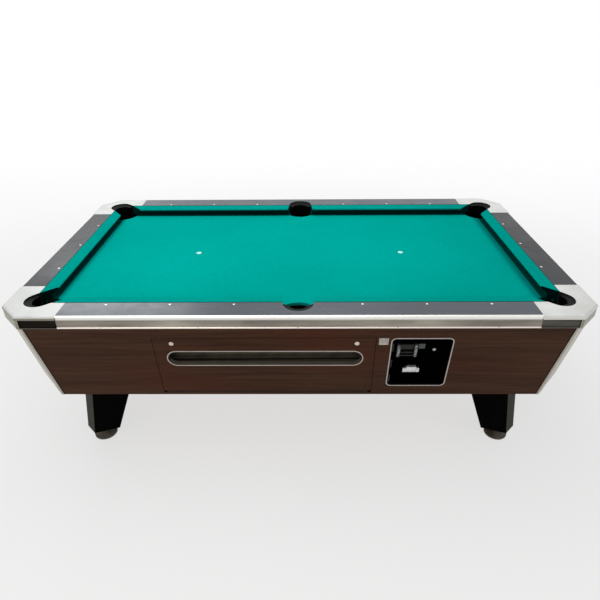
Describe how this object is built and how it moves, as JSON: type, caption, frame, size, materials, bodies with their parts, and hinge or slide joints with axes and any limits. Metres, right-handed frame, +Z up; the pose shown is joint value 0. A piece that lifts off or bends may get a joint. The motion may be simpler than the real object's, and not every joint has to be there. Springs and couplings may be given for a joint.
{
  "type": "coin-operated pool table",
  "caption": "Coin-operated pool table with cloth-covered slate, cast corners, hinged ball door with a long slot, gravity ball return, coin door and screw-levelled tapered legs.",
  "frame": {"origin": "on the floor below the middle of the bed", "axes": "+X along the table's length to the right, +Y away from the coin side, +Z up"},
  "size_m": [2.356, 1.34, 0.813],
  "materials": {
    "slate": "honed",
    "cloth": "woven wool cloth",
    "laminate": "satin high-pressure laminate on a wooden core",
    "sights": "moulded discs",
    "trim_metal": "brushed along its length",
    "cast_metal": "light satin coating on cast metal",
    "liner_plastic": "moulded, slightly glossy",
    "walnut": "dark walnut laminate on board",
    "timber": "bare timber",
    "leg_black": "black laminate",
    "leveller_metal": "dark grey",
    "bolt_steel": "zinc plated",
    "runway_board": "dark board",
    "coin_black": "black satin",
    "chrome": "polished"
  },
  "bodies": {
    "table": {"slate_bed": "slate", "bed_cloth": "cloth", "rail_front": "laminate", "rail_back": "laminate", "rail_left": "laminate", "rail_right": "laminate", "rail_sights": "sights", "cushion_front_left": "cloth", "cushion_front_right": "cloth", "cushion_back_left": "cloth", "cushion_back_right": "cloth", "cushion_left_end": "cloth", "cushion_right_end": "cloth", "trim_front": "trim_metal", "trim_back": "trim_metal", "trim_left": "trim_metal", "trim_right": "trim_metal", "casting_front_left": "cast_metal", "casting_front_right": "cast_metal", "casting_back_left": "cast_metal", "casting_back_right": "cast_metal", "liner_front_left": "liner_plastic", "liner_front_right": "liner_plastic", "liner_back_left": "liner_plastic", "liner_back_right": "liner_plastic", "liner_front_side": "liner_plastic", "liner_back_side": "liner_plastic", "apron_front": "walnut", "apron_back": "walnut", "apron_left": "walnut", "apron_right": "walnut", "inner_frame": "timber", "corner_covers": "trim_metal", "cabinet_floor": "timber", "leg_front_left": "leg_black", "leg_front_right": "leg_black", "leg_back_left": "leg_black", "leg_back_right": "leg_black", "frame_bolts": "bolt_steel", "apron_hinge_leaf": "bolt_steel", "ball_tray": "runway_board", "ball_runways": "runway_board", "cue_ball_cup": "liner_plastic", "coin_door_frame": "trim_metal", "cash_box": "bolt_steel"},
    "ball_door": {"ball_door": "walnut", "slot_trim": "trim_metal", "door_hinge_leaf": "bolt_steel"},
    "left_lock": {"cam_lock_left": "chrome"},
    "right_lock": {"cam_lock_right": "chrome"},
    "coin_door": {"coin_door": "coin_black", "coin_acceptor": "chrome"},
    "coin_lock": {"coin_lock": "chrome"},
    "reject_button": {"reject_button": "chrome"},
    "return_flap": {"coin_return_flap": "chrome"},
    "gate": {"release_gate": "bolt_steel"},
    "foot_front_left": {"leveller_front_left": "leveller_metal"},
    "foot_front_right": {"leveller_front_right": "leveller_metal"},
    "foot_back_left": {"leveller_back_left": "leveller_metal"},
    "foot_back_right": {"leveller_back_right": "leveller_metal"}
  },
  "joints": [
    {"name": "ball_door_hinge", "type": "hinge", "parent": "table", "child": "ball_door", "pos_m": [-0.136, -0.60529, 0.39673], "axis": [1, 0, 0], "range_deg": [0, 90]},
    {"name": "left_lock_turn", "type": "hinge", "parent": "ball_door", "child": "left_lock", "pos_m": [-0.5045, -0.64756, 0.6759], "axis": [0, -0.9903, -0.1392], "range_deg": [0, 90]},
    {"name": "right_lock_turn", "type": "hinge", "parent": "ball_door", "child": "right_lock", "pos_m": [0.2325, -0.64756, 0.6759], "axis": [0, 0.9903, 0.1392], "range_deg": [0, 90]},
    {"name": "coin_door_hinge", "type": "hinge", "parent": "table", "child": "coin_door", "pos_m": [0.3776, -0.63383, 0.56746], "axis": [0, 0.1392, -0.9903], "range_deg": [0, 110]},
    {"name": "coin_lock_turn", "type": "hinge", "parent": "coin_door", "child": "coin_lock", "pos_m": [0.543, -0.63854, 0.64051], "axis": [0, -0.9903, -0.1392], "range_deg": [0, 90]},
    {"name": "reject_button_push", "type": "slide", "parent": "coin_door", "child": "reject_button", "axis": [0, 0.9903, 0.1392], "range_m": [0, 0.004], "stiffness_N_per_m": 150, "springref_m": -0.002},
    {"name": "return_flap_swing", "type": "hinge", "parent": "coin_door", "child": "return_flap", "pos_m": [0.4625, -0.62833, 0.53188], "axis": [1, 0, 0], "range_deg": [0, 40]},
    {"name": "release_gate_swing", "type": "hinge", "parent": "table", "child": "gate", "pos_m": [0.211, -0.422, 0.62829], "axis": [0, -1, 0], "range_deg": [0, 70]},
    {"name": "foot_front_left_screw", "type": "slide", "parent": "table", "child": "foot_front_left", "axis": [0, 0, -1], "range_m": [0, 0.025]},
    {"name": "foot_front_right_screw", "type": "slide", "parent": "table", "child": "foot_front_right", "axis": [0, 0, -1], "range_m": [0, 0.025]},
    {"name": "foot_back_left_screw", "type": "slide", "parent": "table", "child": "foot_back_left", "axis": [0, 0, -1], "range_m": [0, 0.025]},
    {"name": "foot_back_right_screw", "type": "slide", "parent": "table", "child": "foot_back_right", "axis": [0, 0, -1], "range_m": [0, 0.025]}
  ]
}
